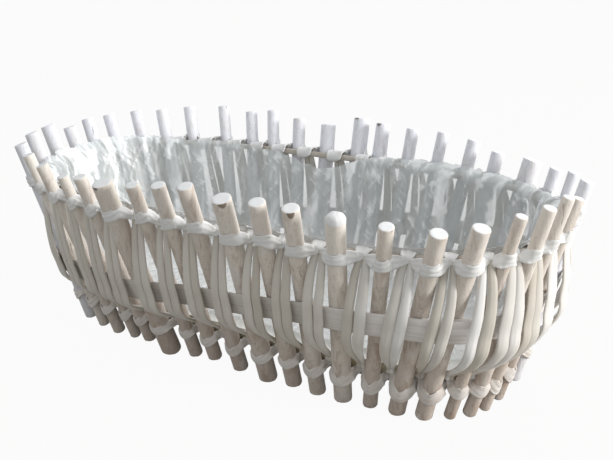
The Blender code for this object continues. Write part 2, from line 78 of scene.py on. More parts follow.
class Shading:
    # a node tree in the making
    def __init__(self, tree):
        self.tree = tree

    def add(self, kind, settings=None, inputs=None, output=0):
        node = self.tree.nodes.new("ShaderNode" + kind)
        for key, value in (settings or {}).items():
            setattr(node, key, value)
        for key, value in (inputs or {}).items():
            self.feed(node.inputs[key], value)
        return Signal(self, node.outputs[output])

    def feed(self, socket, value):
        if isinstance(value, Signal):
            self.tree.links.new(value.socket, socket)
        elif socket.type == "RGBA" and len(value) == 3:
            socket.default_value = (*value, 1)
        else:
            socket.default_value = value

    def step(self, signal, low, high):
        # 0 below low, 1 above high, smooth between
        return self.add("MapRange", {"interpolation_type": "SMOOTHSTEP"}, {"Value": signal, 1: low, 2: high})

    def blend(self, factor, first, second):
        return self.add("Mix", {"data_type": "RGBA"}, {0: factor, 6: first, 7: second}, output=2)

    def mark(self, colour, signal, low, high, strength, paint):
        # lays a paint over a colour where a signal rises from low to high
        return self.blend(self.step(signal, low, high) * strength, colour, paint)

    def place(self, stretch=(1, 1, 1)):
        # Object coordinates, scaled unevenly for grain that runs one way
        spot = self.add("TexCoord", output="Object")
        return self.add("Mapping", None, {"Vector": spot, "Scale": stretch})

    def axis(self, number):
        return self.add("SeparateXYZ", None, {"Vector": self.place()}, output=number)

    def strip(self, along, across):
        # the piece's own UV map, which runs along and across its strip in metres
        spot = self.add("UVMap", {"uv_map": "strip"})
        return self.add("Mapping", None, {"Vector": spot, "Scale": (along, across, 1)})

    def pattern(self, stretch, scale, detail=3, rough=0.55, twist=0):
        # noise along a strip for a stretch of two numbers, else on Object coordinates
        vector = self.strip(*stretch) if len(stretch) == 2 else self.place(stretch)
        inputs = {"Vector": vector, "Scale": scale, "Detail": detail, "Roughness": rough, "Distortion": twist}
        return self.add("TexNoise", None, inputs)

    def attribute(self, name):
        return self.add("Attribute", {"attribute_name": name}, None, output="Fac")

    def seen(self):
        # 1 for what the camera, gloss and clear film see, 0 for what lights the object
        camera, gloss, through = (
            self.add("LightPath", output=f"Is {kind} Ray") for kind in ("Camera", "Glossy", "Transmission"))
        return camera.atLeast(gloss).atLeast(through)


class Finish(Shading):
    # a material in the making, with its Principled shader
    def __init__(self, name, **constants):
        self.material = bpy.data.materials.new(name)
        self.material.use_nodes = True
        super().__init__(self.material.node_tree)
        self.shader = self.tree.nodes["Principled BSDF"]
        self.paint(**constants)

    def paint(self, **values):
        for socket, value in values.items():
            self.feed(self.shader.inputs[socket.replace("_", " ")], value)

    def bump(self, height, strength, distance):
        inputs = {"Height": height, "Strength": strength, "Distance": distance}
        self.paint(Normal=self.add("Bump", None, inputs))


class Wood(Finish):
    # a wood finish from its look: patterns of noise, marks laid over each other, roughness and bump
    def __init__(self, name, look, darkenMask=None):
        super().__init__(name)
        self.look = look
        self.darkenMask = self.attribute(darkenMask) if darkenMask else None
        self.patterns = {key: self.pattern(*numbers) for key, numbers in look["patterns"].items()}

    def total(self, shares):
        parts = [self.patterns[key] * share for key, share in shares.items()]
        return sum(parts[1:], parts[0])

    def wear(self, colour):
        # a mark: patterns, where it starts and is full, its strength, more of it where the darken mask is
        # high, its colour
        for shares, low, high, strength, more, paint in self.look["marks"]:
            amount = strength + self.darkenMask * more if more else strength
            colour = self.mark(colour, self.total(shares), low, high, amount, paint)
        return colour

    def done(self, colour):
        start, key, swing = self.look["roughness"]
        shares, strength, distance = self.look["bump"]
        self.paint(Base_Color=colour, Roughness=start + self.patterns[key] * swing)
        self.bump(self.total(shares), strength, distance)
        return self.material


# mesh helpers


def meshPiece(name, bm, material, smooth=True):
    mesh = bpy.data.meshes.new(name)
    bm.to_mesh(mesh)
    bm.free()
    mesh.materials.append(material)
    if smooth:
        mesh.shade_smooth()
    piece = bpy.data.objects.new(name, mesh)
    bpy.context.scene.collection.objects.link(piece)
    return piece


def finishPiece(piece, slotName, *replaced):
    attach(piece, "root")
    if replaced:
        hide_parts(*replaced)


def addModifier(piece, name, kind, **settings):
    modifier = piece.modifiers.new(name, kind)
    for key, value in settings.items():
        setattr(modifier, key, value)


def ease(share):
    held = min(max(share, 0), 1)
    return held * held * (3 - 2 * held)


def hill(distance, width):
    return math.exp(-(distance / width) ** 2)


def wobble(place, seed, scale=1.0):
    # an even random drift, the same on every run
    return noise.noise(Vector((place * scale, seed * 7.31, seed * 1.7)))


def sheetGrid(columns, rows):
    # a flat grid, later bent: x from -1 to 1 along its columns and y from -1 to 1 across its rows
    bm = bmesh.new()
    bmesh.ops.create_grid(bm, x_segments=columns, y_segments=rows, size=1)
    return bm


def catmull(knots, spot):
    # a smooth value through evenly numbered knots; the row of knots is closed
    count = len(knots)
    index = math.floor(spot)
    part = spot - index
    a, b, c, d = (knots[(index + step) % count] for step in (-1, 0, 1, 2))
    bend = (2 * a - 5 * b + 4 * c - d) * part ** 2
    swing = (3 * b - a - 3 * c + d) * part ** 3
    return 0.5 * ((2 * b) + (c - a) * part + bend + swing)


def uniquePoints(node):
    mesh = nodes[node].data
    return np.unique(np.array([vertex.co[:] for vertex in mesh.vertices]).round(6), axis=0)


# the wall through the sticks, read off the CAD

wallSettings = {
    "footHeight": 0.0205, "rimHeight": 0.12, "tieHeight": 0.1178, "seatRadius": 0.0053,
    "seatGap": 0.0003, "tangentReach": 0.2,
}
rodSettings = {
    "footLayer": 0.0003, "topPoints": 8, "topLayer": 0.0012, "topSpare": 0.0002, "taper": 0.94,
}
stickCount = sum(name.startswith("stick_") for name in nodes)


class Rod:
    # a CAD stick's axis, radius and ends
    def __init__(self, name):
        points = uniquePoints(name)
        low = points[points[:, 2] < points[:, 2].min() + rodSettings["footLayer"]].mean(axis=0)
        axis = points[np.argsort(points[:, 2])[-rodSettings["topPoints"]:]].mean(axis=0) - low
        axis /= np.linalg.norm(axis)
        reach = (points - low) @ axis
        high = reach > reach.max() - rodSettings["topLayer"]
        top = points[high].mean(axis=0)
        self.foot = Vector(low)
        self.length = float((top - low) @ axis) + rodSettings["topSpare"]
        self.axis = (Vector(top) - Vector(low)).normalized()
        away = points - low
        away = away - np.outer(away @ np.array(self.axis), np.array(self.axis))
        self.topRadius = float(np.linalg.norm(away, axis=1)[high].max())
        self.footRadius = self.topRadius / rodSettings["taper"]

    def at(self, height):
        return self.foot + self.axis * ((height - self.foot.z) / self.axis.z)

    def radius(self, height):
        part = (height - self.foot.z) / (self.length * self.axis.z)
        return self.footRadius + (self.topRadius - self.footRadius) * part


rods = [Rod(f"stick_{number + 1:02d}") for number in range(stickCount)]


class Wall:
    # the leaning wall; a place counts sticks, 4.5 is halfway from stick 4 to 5
    def __init__(self):
        self.rows = {}
        for height in (wallSettings["footHeight"], wallSettings["rimHeight"]):
            centres = [rod.at(height) for rod in rods]
            inner = []
            for index, rod in enumerate(rods):
                along = centres[(index + 1) % stickCount] - centres[index - 1]
                outward = along.cross(rod.axis).normalized()
                inner.append(centres[index] - outward * (rod.radius(height) - wallSettings["seatRadius"]))
            self.rows[height] = inner

    def line(self, place, height):
        foot, rim = wallSettings["footHeight"], wallSettings["rimHeight"]
        low = catmull(self.rows[foot], place)
        high = catmull(self.rows[rim], place)
        return low.lerp(high, (height - foot) / (rim - foot)), (high - low).normalized()

    def frameAt(self, place, height):
        # the point, and the directions along the wall, out of it and up it
        centre, up = self.line(place, height)
        before, _ = self.line(place - wallSettings["tangentReach"], height)
        after, _ = self.line(place + wallSettings["tangentReach"], height)
        outward = (after - before).cross(up).normalized()
        return centre, up.cross(outward), outward, up

    def at(self, place, height, out, across=0.0):
        # height is the real height of the point, also after the step outwards
        centre, along, outward, up = self.frameAt(place, height)
        point = centre + outward * out + along * across
        return point + up * ((height - point.z) / up.z)


wall = Wall()


def gapWidth(index, height):
    first, _ = wall.line(index, height)
    second, _ = wall.line(index + 1, height)
    return (second - first).length


def sideRadii(index, height):
    return [rods[(index + step) % stickCount].radius(height) for step in (0, 1)]


def gapMiddle(index, height):
    # the place halfway between two sticks' sides
    width = gapWidth(index, height)
    left, right = sideRadii(index, height)
    return index + (width + left - right) / 2 / width


def freeGap(index, height):
    # the clear width between two sticks
    return max(gapWidth(index, height) - sum(sideRadii(index, height)), 0.004)


print("wall read off", stickCount, "sticks")

# finishes

stickLook = {
    "patterns": {
        "streak": ((1, 1, 0.09), 520, 4, 0.65),
        "broad": ((1, 1, 0.22), 150, 3, 0.6, 0.5),
        "patch": ((1, 1, 0.45), 60, 3, 0.6, 0.4),
        "speck": ((1, 1, 0.4), 1100, 2, 0.6),
        "split": ((1, 1, 0.05), 300, 2, 0.7, 0.4),
    },
    "backWashAndLight": (0.8, 0.81, 0.86), "frontWash": (0.84, 0.79, 0.72), "bare": (0.48, 0.4, 0.34),
    "marks": (
        ({"streak": 1}, 0.5, 0.7, 0.24, 0.3, (0.33, 0.27, 0.22)),
        ({"broad": 1}, 0.52, 0.68, 0.16, 0.6, (0.36, 0.26, 0.19)),
        ({"patch": 1}, 0.52, 0.7, 0.4, 0, (0.76, 0.73, 0.69)),
        ({"speck": 1}, 0.6, 0.72, 0.25, 0.4, (0.22, 0.17, 0.13)),
        ({"split": 1}, 0.7, 0.76, 0.6, 0, (0.12, 0.09, 0.07)),
    ),
    "stain": (0.75, 1.0, 0.85, (0.11, 0.07, 0.04)), "stainRagged": 0.6, "cutEnd": (0.74, 0.745, 0.745),
    "crack": (0.7, 0.76), "roughness": (0.6, "streak", 0.2),
    "bump": ({"streak": 0.7, "broad": 0.6, "speck": 0.2, "crack": -0.8}, 0.6, 0.0007),
}
# a flat peeled strip, the whitest piece: soft lengthwise creases
stripLook = {
    "patterns": {"crease": ((60, 520), 1, 3, 0.55, 0.3), "cloud": ((1, 1, 1), 90)},
    "base": (0.74, 0.74, 0.73),
    "marks": (
        ({"crease": 1}, 0.5, 0.72, 0.3, 0, (0.5, 0.46, 0.41)),
        ({"cloud": 1}, 0.5, 0.75, 0.3, 0, (0.62, 0.55, 0.5)),
    ),
    "roughness": (0.45, "crease", 0.2), "bump": ({"crease": 0.8, "cloud": 0.3}, 0.45, 0.0005),
}
footStripLook = {
    "patterns": {"crease": ((60, 480), 1, 3, 0.55, 0.3), "cloud": ((1, 1, 1), 80)},
    "base": (0.7, 0.66, 0.62),
    "marks": (
        ({"crease": 1}, 0.48, 0.72, 0.4, 0, (0.46, 0.39, 0.33)),
        ({"cloud": 1}, 0.48, 0.72, 0.35, 0, (0.46, 0.38, 0.32)),
    ),
    "roughness": (0.5, "crease", 0.2), "bump": ({"crease": 0.8, "cloud": 0.3}, 0.5, 0.0005),
}
# strands and lath are whiter towards the right end, between two places along x: partly paler paint, partly
# painted light from the right
strandLook = {
    "patterns": {"fibre": ((22, 700), 1, 4, 0.6), "cloud": ((1, 1, 0.35), 60, 3, 0.6)},
    "base": (0.64, 0.61, 0.555), "rightPaleAndLit": (0.8, 0.79, 0.78), "rightFrom": (0.08, 0.17),
    "bare": (0.51, 0.475, 0.41),
    "marks": (
        ({"fibre": 1}, 0.48, 0.7, 0.4, 0, (0.48, 0.43, 0.37)),
        ({"cloud": 1}, 0.5, 0.72, 0.2, 0.4, (0.5, 0.42, 0.35)),
    ),
    "roughness": (0.45, "fibre", 0.2), "bump": ({"fibre": 0.8, "cloud": 0.4}, 0.35, 0.0005),
}
lathLook = {
    "patterns": {"grain": ((14, 900), 1, 4, 0.65), "cloud": ((1, 1, 1), 45)},
    "base": (0.66, 0.63, 0.585), "rightPaleAndLit": (0.9, 0.87, 0.85), "rightFrom": (0.06, 0.14),
    "marks": (
        ({"grain": 1}, 0.42, 0.72, 0.55, 0, (0.45, 0.37, 0.31)),
        ({"cloud": 1}, 0.5, 0.75, 0.3, 0, (0.55, 0.5, 0.46)),
    ),
    "roughness": (0.55, "grain", 0.2), "bump": ({"grain": 1}, 0.4, 0.0004),
}
hoopLook = {
    "patterns": {"grain": ((30, 600), 1, 4, 0.6), "cloud": ((1, 1, 1), 70)},
    "roughness": (0.6, "grain", 0.2), "bump": ({"grain": 1, "cloud": 0.5}, 0.5, 0.0005),
}
rimHoopLook = {
    **hoopLook,
    "base": (0.55, 0.51, 0.45),
    "marks": (({"grain": 0.5, "cloud": 0.5}, 0.42, 0.64, 1, 0, (0.34, 0.29, 0.23)),),
}
footHoopLook = {
    **hoopLook,
    "base": (0.36, 0.31, 0.21),
    "marks": (({"grain": 0.5, "cloud": 0.5}, 0.42, 0.64, 1, 0, (0.17, 0.13, 0.08)),),
}
boardLook = {
    "patterns": {
        "grain": ((0.06, 1, 1), 300, 4, 0.6),
        "layer": ((0.05, 0.05, 1), 900, 2),
        "cloud": ((1, 1, 1), 30),
    },
    "base": (0.46, 0.42, 0.31),
    "marks": (
        ({"grain": 0.6, "cloud": 0.4}, 0.42, 0.62, 1, 0, (0.34, 0.3, 0.2)),
        ({"layer": 1}, 0.45, 0.6, 0.3, 0, (0.28, 0.23, 0.15)),
    ),
    "face": (0.86, 0.86, 0.83), "faceDepth": (0.0008, 0.0002), "roughness": (0.6, "grain", 0.2),
    "bump": ({"grain": 1, "layer": 0.6}, 0.4, 0.0004),
}
filmLook = {
    "veil": ((1, 1, 0.18), 85, 3, 0.55, 0.4), "cloud": ((1, 1, 0.6), 26, 2, 0.5),
    "fine": ((1, 1, 0.5), 300, 2, 0.6), "flat": (0.6, 0.635, 0.63), "creased": (0.94, 0.955, 0.96),
    "milky": (0.94, 0.95, 0.95), "clearest": 0.12, "densest": 0.94,
}


def makeWood(name, look):
    finish = Wood(name, look)
    return finish.done(finish.wear(look["base"]))


def makeStickFinish():
    # whitewash brushed over willow bark: streaks along the stick, thin spots, a few dark cracks
    look = stickLook
    finish = Wood("whitewashedStick", look, "warmth")
    finish.patterns["crack"] = finish.step(finish.patterns["split"], *look["crack"])
    # the back row is paler and cooler than the front row: partly whitewash, partly painted light on the back
    # row's inner faces
    colour = finish.blend(finish.attribute("front"), look["backWashAndLight"], look["frontWash"])
    # the darken mask blends towards bare wood: wear, and on the sticks also painted shade towards the foot
    # and painted light on some front sticks
    colour = finish.wear(finish.blend(finish.darkenMask, colour, look["bare"]))
    stain = finish.attribute("stain") + finish.patterns["broad"] * look["stainRagged"]
    colour = finish.mark(colour, stain, *look["stain"])
    return finish.done(finish.blend(finish.attribute("cutEnd"), colour, look["cutEnd"]))


def rightPaleAndLit(finish, look):
    return finish.blend(finish.step(finish.axis(0), *look["rightFrom"]), look["base"], look["rightPaleAndLit"])


def makeStrandFinish():
    finish = Wood("splitStrand", strandLook, "tone")
    colour = finish.blend(finish.darkenMask, rightPaleAndLit(finish, strandLook), strandLook["bare"])
    return finish.done(finish.wear(colour))


def makeLathFinish():
    finish = Wood("whitewashedLath", lathLook)
    return finish.done(finish.wear(rightPaleAndLit(finish, lathLook)))


def makeBoardFinish():
    # olive edge and underside, pale upper face
    finish = Wood("plyBoard", boardLook)
    top = max(vertex.co.z for vertex in nodes["base_board"].data.vertices)
    low, high = (top - depth for depth in boardLook["faceDepth"])
    colour = finish.wear(boardLook["base"])
    return finish.done(finish.blend(finish.step(finish.axis(2), low, high), colour, boardLook["face"]))


def makeFilmFinish():
    # clear film: grey-green and half clear where it lies flat, milky where it is creased; the crease value
    # also makes the film paler towards its top edge and in the left billow, which is painted highlight
    look = filmLook
    finish = Finish("clearFilm", Roughness=0.22, IOR=1.45)
    crease, haze, milk = (finish.attribute(name) for name in ("crease", "haze", "milk"))
    veil, cloud, fine = (finish.pattern(*look[name]) for name in ("veil", "cloud", "fine"))
    pale = (finish.step(crease, 0.2, 0.85) * 0.8 + finish.step(veil, 0.5, 0.66) * 0.6).atMost(1)
    alpha = look["clearest"] + haze * 0.38 + pale * (0.06 + haze * 0.34)
    alpha = alpha + finish.step(cloud, 0.36, 0.62) * haze * 0.2
    colour = finish.blend(pale * 0.9, look["flat"], look["creased"])
    finish.paint(Base_Color=finish.blend(milk, colour, look["milky"]), Alpha=alpha.atMost(look["densest"]))
    finish.bump(veil * 0.7 + fine * 0.25, 0.3, 0.001)
    return finish.material


stickFinish = makeStickFinish()
strandFinish = makeStrandFinish()
filmFinish = makeFilmFinish()
print("finishes made")

# sticks

stick = {
    "sides": 28, "ringStep": 0.0024, "topEdge": 0.0006, "footEdge": 0.0016, "capRings": (0.3, 0.45),
    "pale": 0.93, "swell": 0.035, "bow": 0.0005, "topTilt": 0.1, "tiltFrom": 0.97, "footWearAndShade": 0.6,
    "stainDepth": 0.0045, "sharpAngle": 50,
}
# the torn top: its height, ledge, rounding, crumple, and where its pale wood starts
roughTop = {
    "stick": 11, "height": 0.007, "ledge": 0.035, "ledgeAt": 0.75, "narrowing": 0.12, "roundFrom": 0.3,
    "drop": 0.002, "crumple": 0.05, "grain": 300,
}
# brown arcs under the cut ends: how strong, and on which side
stainedTops = {
    4: (0.8, -1.5), 6: (0.6, -0.8), 8: (1.0, -0.95), 10: (1.0, -1.3), 12: (0.6, -1.1),
    27: (1.0, 1.3), 28: (0.8, 1.2),
}
# how worn each front stick is; some values also set a stick lighter or darker where the light falls on it, as
# painted light
frontWearAndLight = (
    0.05, 0.5, 0.65, 0.65, 0.75, 0.7, 0.7, 0.75, 0.7, 0.65, 0.55, 0.5, 0.6, 0.65, 0.6, 0.75, 0.6, 0.6, 0.6)
frontCount = len(frontWearAndLight)


def roundedRod(rod):
    # a rod with rounded ends and rings of points all along it
    sides = stick["sides"]
    bm = bmesh.new()
    bmesh.ops.create_cone(
        bm, segments=sides, radius1=rod.footRadius, radius2=rod.topRadius, depth=rod.length, cap_ends=True)
    bmesh.ops.translate(bm, verts=bm.verts, vec=(0, 0, rod.length / 2))
    for level, offset, segments in ((rod.length, stick["topEdge"], 2), (0, stick["footEdge"], 3)):
        edges = [edge for edge in bm.edges if all(abs(vert.co.z - level) < 1e-6 for vert in edge.verts)]
        bmesh.ops.bevel(
            bm, geom=edges, offset=offset, offset_type="OFFSET", segments=segments, profile=0.5,
            affect="EDGES", material=-1)
    uprights = [edge for edge in bm.edges if abs(edge.verts[0].co.z - edge.verts[1].co.z) > rod.length / 2]
    cuts = int(rod.length / stick["ringStep"])
    bmesh.ops.subdivide_edges(bm, edges=uprights, cuts=cuts, use_grid_fill=True)
    # the flat ends get rings too, so that their wear has points to hold it
    for level in (0, rod.length):
        caps = [face for face in bm.faces
                if len(face.verts) == sides and abs(face.calc_center_median().z - level) < 1e-6]
        for share in stick["capRings"]:
            bmesh.ops.inset_individual(bm, faces=caps, thickness=rod.topRadius * share, use_even_offset=True)
    return bm


def tearTop(rod, spot, reach):
    # rounds and crumples the torn top above a small ledge, and gives its share of pale wood
    depth = (rod.length - spot.z) / roughTop["height"]
    grain = roughTop["grain"]
    crumple = noise.noise(Vector((spot.x * grain, spot.y * grain, spot.z * grain)))
    ledge = roughTop["ledge"] * ease((roughTop["ledgeAt"] - depth) / 0.12)
    ledge -= roughTop["narrowing"] * ease((roughTop["roundFrom"] - depth) / roughTop["roundFrom"])
    wide = 1 + ledge + crumple * roughTop["crumple"]
    spot.x *= wide
    spot.y *= wide
    spot.z -= (reach / rod.topRadius) ** 4 * roughTop["drop"] * (1 - depth) - crumple * 0.0005
    return ease((roughTop["ledgeAt"] - depth) / 0.15) * 0.9


def makeStick(index):
    rod = rods[index]
    bm = roundedRod(rod)
    warmth, stain, cutEnd, front = (
        bm.verts.layers.float.new(name) for name in ("warmth", "stain", "cutEnd", "front"))
    tiltX, tiltY = (wobble(index, seed) * stick["topTilt"] for seed in (3, 4))
    bowX, bowY = (stick["bow"] * wobble(index, seed) * 2 for seed in (1, 2))
    tone = (frontWearAndLight[index] if index < frontCount else 0) + wobble(index * 1.37, 5) * 0.25
    brown, side = stainedTops.get(index, (0, 0))
    for vert in bm.verts:
        spot = vert.co.copy()
        share = spot.z / rod.length
        reach = math.hypot(spot.x, spot.y)
        # cut ends are pale; the colour darkens and warms towards the foot, partly wear and partly painted
        # shade; some tops have a brown arc
        onTop = spot.z > rod.length - 1e-5 and reach < rod.topRadius * stick["pale"]
        arc = max(math.cos(math.atan2(spot.y, spot.x) - side), 0) ** 5
        vert[front] = 1.0 if index < frontCount else 0.0
        vert[cutEnd] = 1.0 if onTop else 0.0
        vert[warmth] = min(max(tone + (0.45 - share) * stick["footWearAndShade"], 0), 1)
        vert[stain] = 0 if onTop else brown * hill(rod.length - spot.z, stick["stainDepth"]) * arc
        # slow swelling along the stick and a slight bow
        lump = noise.noise(Vector((spot.x * 120, spot.y * 120, spot.z * 35 + index * 9)))
        ring = noise.noise(Vector((index * 3.3, 0, spot.z * 30)))
        swell = 1 + (lump * 0.6 + ring) * stick["swell"]
        spot.x *= swell
        spot.y *= swell
        if share > stick["tiltFrom"]:
            spot.z += spot.x * tiltX + spot.y * tiltY
        if index == roughTop["stick"] and spot.z > rod.length - roughTop["height"]:
            vert[cutEnd] = tearTop(rod, spot, reach)
        spot.x += math.sin(share * math.pi) * bowX
        spot.y += math.sin(share * math.pi) * bowY
        vert.co = spot
    turn = rod.axis.to_track_quat("Z", "Y").to_matrix().to_4x4()
    bmesh.ops.transform(bm, matrix=Matrix.Translation(rod.foot) @ turn, verts=bm.verts)
    # the foot is cut level, so what hangs under its height is pressed up to it
    for vert in bm.verts:
        vert.co.z = max(vert.co.z, rod.foot.z)
    piece = meshPiece(f"stick.{index + 1:02d}", bm, stickFinish)
    piece.data.set_sharp_from_angle(angle=math.radians(stick["sharpAngle"]))
    finishPiece(piece, "stick_wood", f"stick_{index + 1:02d}")


for index in range(stickCount):
    makeStick(index)
print("sticks made")

# swept pieces


def sweep(bm, stations, closed, rows, section):
    # bends a flat grid onto a row of stations; a station is a centre, a facing, a width and more
    count = len(stations)
    centres = [station[0] for station in stations]
    walks = [0.0]
    for first, second in zip(centres, centres[1:] + centres[:1]):
        walks.append(walks[-1] + (second - first).length)
    frames = []
    for number, station in enumerate(stations):
        if closed:
            before, after = centres[number - 1], centres[(number + 1) % count]
        else:
            before, after = centres[max(number - 1, 0)], centres[min(number + 1, count - 1)]
        tangent = (after - before).normalized()
        across = tangent.cross(station[1]).normalized()
        frames.append((across, across.cross(tangent).normalized()))
    spots = {}
    for vert in bm.verts:
        column = round((vert.co.x + 1) / 2 * (count if closed else count - 1))
        spots[vert.index] = (column, round((vert.co.y + 1) / 2 * rows))
    for vert in bm.verts:
        column, row = spots[vert.index]
        number = column % count
        across, facing = frames[number]
        aside, lift = section(row / rows, stations[number])
        vert.co = centres[number] + across * aside + facing * lift
    uvLayer = bm.loops.layers.uv.new("strip")
    for face in bm.faces:
        for loop in face.loops:
            column, row = spots[loop.vert.index]
            loop[uvLayer].uv = (walks[column], (row / rows - 0.5) * stations[column % count][2])


def flatSection(share, station):
    return (share * 2 - 1) * station[2] / 2, 0.0


def roundSection(thickness, flatness, fibre=0.0):
    # a closed half-round: the row walks once round it, and its face may have lengthwise ridges
    def place(share, station):
        turn = share * 2 * math.pi
        lift = math.sin(turn) * min(thickness, station[2] * 0.8) / 2
        if lift < 0:
            lift *= flatness
        elif fibre:
            lift += fibre * math.cos(math.cos(turn) * 7 + station[0].z * 90) * math.sin(turn)
        return -math.cos(turn) * station[2] / 2, lift
    return place


def smoothStations(keys, closed, steps):
    # rounds a row of key stations into a finer one
    count = len(keys)
    fine = []
    for number in range(count if closed else count - 1):
        spots = [number + shift for shift in (-1, 0, 1, 2)]
        around = [keys[spot % count if closed else min(max(spot, 0), count - 1)] for spot in spots]
        for step in range(steps):
            values = [catmull([key[item] for key in around], 1 + step / steps) for item in (0, 1, 2)]
            values[1] = values[1].normalized()
            fine.append(tuple(values))
    if not closed:
        fine.append(keys[-1])
    return fine


def closeSweep(bm, closed):
    bmesh.ops.remove_doubles(bm, verts=bm.verts, dist=1e-6)
    if not closed:
        bmesh.ops.holes_fill(bm, edges=[edge for edge in bm.edges if edge.is_boundary], sides=0)
    bmesh.ops.recalc_face_normals(bm, faces=bm.faces)


# hoops

hoop = {"radius": 0.00225, "sides": 12, "stepsPerStick": 4, "swell": 0.05}
hoopOut = -wallSettings["seatRadius"] - wallSettings["seatGap"] - hoop["radius"]


def hoopSpot(place, level):
    centre, _, outward, _ = wall.frameAt(place, level)
    return centre + outward * hoopOut


def makeHoop(name, level, look, node):
    steps, sides, radius = hoop["stepsPerStick"] * stickCount, hoop["sides"], hoop["radius"]
    stations = []
    for step in range(steps):
        place = step / hoop["stepsPerStick"]
        size = 2 * radius * (1 + hoop["swell"] * wobble(place, 11, 0.7))
        stations.append((hoopSpot(place, level), wall.frameAt(place, level)[2], size))
    bm = sheetGrid(steps, sides)
    sweep(bm, stations, True, sides, roundSection(2 * radius, 1.0))
    closeSweep(bm, True)
    finishPiece(meshPiece(name, bm, makeWood(name + "Wood", look)), "hoop_wood", node)


makeHoop("rimHoop", wallSettings["tieHeight"], rimHoopLook, "rim_hoop")
makeHoop("footHoop", wallSettings["footHeight"], footHoopLook, "foot_hoop")
print("hoops made")

# bindings

binding = {
    "rows": 12, "steps": 6, "thickness": 0.0009, "clear": 0.0004, "crease": 0.00022, "rolled": -0.05,
    "roomyGap": 0.0125, "narrowGap": 0.7, "narrowWidth": 0.55, "tieLift": 0.0006, "fullness": 0.07,
    # round a stick: degrees from its front, and how far the strip is at its front height there
    "turns": ((-82, 0.45), (-42, 0.88), (0, 1.0), (42, 0.88), (82, 0.45)),
    "widestTurn": 82,
}
# the strip's way over the hoop, as steps: along the hoop in metres, then outwards and up in
# turns of the hoop's own size, then where its face looks (outwards, up, along) and its width's share
rimStrip = {
    "name": "rimBinding", "node": "rim_binding", "level": wallSettings["rimHeight"],
    "tie": wallSettings["tieHeight"], "width": 0.0078, "wing": 0.45, "seed": 21,
    "frontIn": (
        (-0.0004, -1.0, -0.2, (-1.0, -0.4, 0.0), 1.15), (0.0006, 0.1, -1.25, (0.1, -1.0, 0.0), 0.75),
        (0.0018, 1.55, 0.05, (1.0, 0.25, -0.3), 0.58)),
    "frontOut": (
        (-0.0024, 1.65, 0.45, (1.0, 0.4, 0.3), 0.76), (-0.0012, 1.05, 1.02, (0.7, 1.0, 0.1), 0.95),
        (-0.0006, -0.3, 1.22, (-0.2, 1.0, 0.0), 1.25), (-0.0004, -1.05, 0.4, (-1.0, 0.3, 0.0), 1.35)),
    # at the back it crosses the hoop at a slant, so that little of the hoop stays bare
    "backIn": (
        (0.0034, -0.9, -0.7, (-0.8, -0.6, 0.0), 1.1), (0.0046, 0.3, -1.3, (0.2, -1.0, 0.0), 0.9),
        (0.0056, 1.5, -0.2, (1.0, 0.2, -0.2), 0.9)),
    "backOut": (
        (-0.0046, 1.5, 0.6, (1.0, 0.5, 0.2), 1.1), (-0.0028, 0.9, 1.25, (0.6, 1.0, 0.1), 1.3),
        (-0.0006, -0.3, 1.45, (-0.3, 1.0, 0.0), 1.75), (0.0014, -1.1, 0.5, (-1.0, 0.4, 0.0), 1.85)),
    "sideWidth": (0.98, 0.16),
}
footStrip = {
    "name": "footBinding", "node": "foot_binding", "level": wallSettings["footHeight"],
    "tie": wallSettings["footHeight"], "width": 0.0072, "wing": 0.8, "seed": 27,
    "side": (
        (0.005, -1.05, 0.9, (-1.0, 0.4, 0.0), 0.7), (0.004, 0.1, 1.75, (0.1, 1.0, 0.15), 0.7),
        (0.0022, 1.2, 1.5, (0.9, 0.5, 0.5), 0.85)),
    "sideWidth": (1, -0.06), "sideRise": 0.0034, "rightWidth": 0.2,
}


def loopHeight(points, index, level):
    # how high the CAD's strip passes in front of a stick
    centre = rods[index].at(level)
    _, along, outward, _ = wall.frameAt(index, level)
    near = [spot.z for spot in points if (spot - centre).length < 0.02
            and (spot - centre).dot(outward) > 0.002 and abs((spot - centre).dot(along)) < 0.0035]
    return sum(near) / len(near)


def gapRoom(index, height):
    # 1 in a wide gap, less where the strip has to pass through a narrow one
    return min(freeGap(index, height) / binding["roomyGap"], 1)


def wingRise(index):
    # how much higher than its front a rim loop leaves on its right side
    return 0.0004 + 0.003 * ease((9 - index) / 4) if index < frontCount else 0.0008


